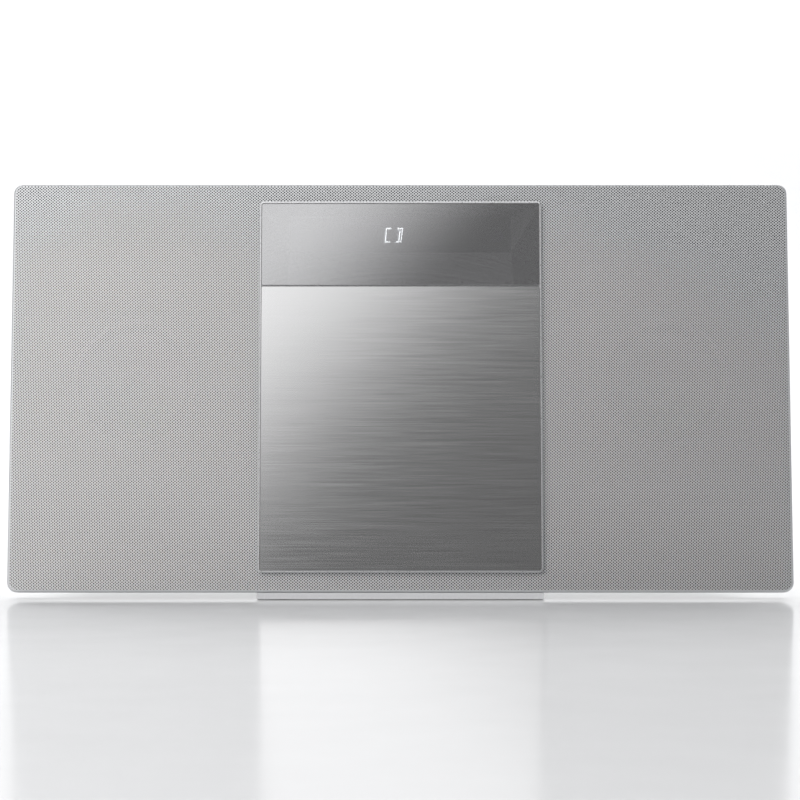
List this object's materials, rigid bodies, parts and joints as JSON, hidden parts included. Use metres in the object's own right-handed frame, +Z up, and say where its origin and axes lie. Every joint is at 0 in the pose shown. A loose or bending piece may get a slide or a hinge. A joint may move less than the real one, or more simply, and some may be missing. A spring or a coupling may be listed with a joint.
{
  "type": "mini hifi system",
  "caption": "Slim one-piece CD stereo with a leaning perforated front, a sliding CD door in the middle and a low stand.",
  "frame": {"origin": "centre of the footprint on the surface the stand rests on", "axes": "+X to the right seen from the front, +Y towards the back, +Z up"},
  "size_m": [0.4, 0.109, 0.2133],
  "materials": {
    "silver_grille": "satin",
    "silver_moulding": "satin",
    "brushed_metal": "brushed",
    "half_mirror": "polished",
    "dark_moulding": "matte",
    "white_moulding": "matte",
    "white_metal": "satin",
    "slippery_plastic": "matte",
    "rod_steel": "polished",
    "screw_steel": "machined",
    "motor_can": "satin",
    "soft_rubber": "matte",
    "lens_glass": "polished",
    "display_glass": "polished",
    "lit_segment": "polished",
    "pressed_steel": "satin",
    "cone_paper": "matte",
    "magnet_iron": "matte",
    "circuit_board": "satin",
    "sink_aluminium": "satin",
    "socket_metal": "polished",
    "silver_button": "satin"
  },
  "bodies": {
    "main_unit": {"aerial_socket": "socket_metal", "board_screws": "screw_steel", "body_screws": "screw_steel", "cd_chassis": "dark_moulding", "cd_well": "dark_moulding", "chassis_dampers": "soft_rubber", "control_strip": "white_moulding", "display_module": "display_glass", "display_segments": "lit_segment", "door_motor": "motor_can", "door_rod_lower": "rod_steel", "door_rod_upper": "rod_steel", "drive_bracket": "slippery_plastic", "filter_capacitors": "dark_moulding", "front_frame": "dark_moulding", "grille": "silver_grille", "headphone_socket": "dark_moulding", "heat_sink": "sink_aluminium", "key_board": "circuit_board", "left_speaker_basket": "pressed_steel", "left_speaker_cone": "cone_paper", "main_board": "circuit_board", "mains_inlet": "dark_moulding", "power_board": "circuit_board", "rear_cabinet": "white_moulding", "remote_sensor": "lens_glass", "right_speaker_basket": "pressed_steel", "right_speaker_cone": "cone_paper", "rubber_feet": "soft_rubber", "sled_motor": "motor_can", "sled_rods": "rod_steel", "speaker_magnets": "magnet_iron", "speaker_surrounds": "soft_rubber", "spindle_motor": "motor_can", "stand": "white_metal", "stand_screws": "screw_steel", "terminal_plate": "dark_moulding", "transformer": "magnet_iron", "usb_socket": "socket_metal"},
    "door": {"door_frame": "silver_moulding", "door_window": "half_mirror", "door_plate": "brushed_metal", "door_runner_upper": "slippery_plastic", "door_runner_lower": "slippery_plastic", "door_screws": "screw_steel"},
    "drive_gear": {"drive_gear": "slippery_plastic"},
    "door_motor_gear": {"door_motor_gear": "slippery_plastic"},
    "turntable": {"turntable": "dark_moulding", "hub_jaws": "slippery_plastic"},
    "pickup": {"pickup_sled": "dark_moulding", "pickup_lens": "lens_glass"},
    "sled_gear": {"sled_gear": "slippery_plastic"},
    "sled_motor_gear": {"sled_motor_gear": "slippery_plastic"},
    "button_power": {"button_power": "silver_button"},
    "button_source": {"button_source": "silver_button"},
    "button_stop": {"button_stop": "silver_button"},
    "button_play": {"button_play": "silver_button"},
    "button_volume_down": {"button_volume_down": "silver_button"},
    "button_volume_up": {"button_volume_up": "silver_button"},
    "button_door": {"button_door": "silver_button"}
  },
  "joints": [
    {"name": "door_slide", "type": "slide", "parent": "main_unit", "child": "door", "axis": [1, 0, 0], "range_m": [0, 0.1275]},
    {"name": "drive_gear_turn", "type": "hinge", "parent": "main_unit", "child": "drive_gear", "pos_m": [-0.005, -0.03504, 0.03098], "axis": [0, -0.9945, 0.1045], "continuous": true},
    {"name": "door_motor_gear_turn", "type": "hinge", "parent": "main_unit", "child": "door_motor_gear", "pos_m": [0.0118, -0.03206, 0.03067], "axis": [0, -0.9945, 0.1045], "continuous": true},
    {"name": "turntable_turn", "type": "hinge", "parent": "main_unit", "child": "turntable", "pos_m": [-0.007, -0.03371, 0.09147], "axis": [0, -0.9945, 0.1045], "continuous": true},
    {"name": "pickup_slide", "type": "slide", "parent": "main_unit", "child": "pickup", "axis": [1, 0, 0], "range_m": [0, 0.034]},
    {"name": "sled_gear_turn", "type": "hinge", "parent": "main_unit", "child": "sled_gear", "pos_m": [0.036, -0.02421, 0.05749], "axis": [0, -0.9945, 0.1045], "continuous": true},
    {"name": "sled_motor_gear_turn", "type": "hinge", "parent": "main_unit", "child": "sled_motor_gear", "pos_m": [0.0486, -0.02222, 0.05728], "axis": [0, -0.9945, 0.1045], "continuous": true},
    {"name": "button_power_press", "type": "slide", "parent": "main_unit", "child": "button_power", "axis": [0, -0.1045, -0.9945], "range_m": [0, 0.0008], "stiffness_N_per_m": 1200},
    {"name": "button_source_press", "type": "slide", "parent": "main_unit", "child": "button_source", "axis": [0, -0.1045, -0.9945], "range_m": [0, 0.0008], "stiffness_N_per_m": 1200},
    {"name": "button_stop_press", "type": "slide", "parent": "main_unit", "child": "button_stop", "axis": [0, -0.1045, -0.9945], "range_m": [0, 0.0008], "stiffness_N_per_m": 1200},
    {"name": "button_play_press", "type": "slide", "parent": "main_unit", "child": "button_play", "axis": [0, -0.1045, -0.9945], "range_m": [0, 0.0008], "stiffness_N_per_m": 1200},
    {"name": "button_volume_down_press", "type": "slide", "parent": "main_unit", "child": "button_volume_down", "axis": [0, -0.1045, -0.9945], "range_m": [0, 0.0008], "stiffness_N_per_m": 1200},
    {"name": "button_volume_up_press", "type": "slide", "parent": "main_unit", "child": "button_volume_up", "axis": [0, -0.1045, -0.9945], "range_m": [0, 0.0008], "stiffness_N_per_m": 1200},
    {"name": "button_door_press", "type": "slide", "parent": "main_unit", "child": "button_door", "axis": [0, -0.1045, -0.9945], "range_m": [0, 0.0008], "stiffness_N_per_m": 1200}
  ],
  "couplings": [
    {"joint": "drive_gear_turn", "follows": "door_slide", "rad_per_m": 166.67},
    {"joint": "door_motor_gear_turn", "follows": "door_slide", "rad_per_m": -416.67},
    {"joint": "sled_gear_turn", "follows": "pickup_slide", "rad_per_m": -208.33},
    {"joint": "sled_motor_gear_turn", "follows": "pickup_slide", "rad_per_m": 520.83}
  ]
}
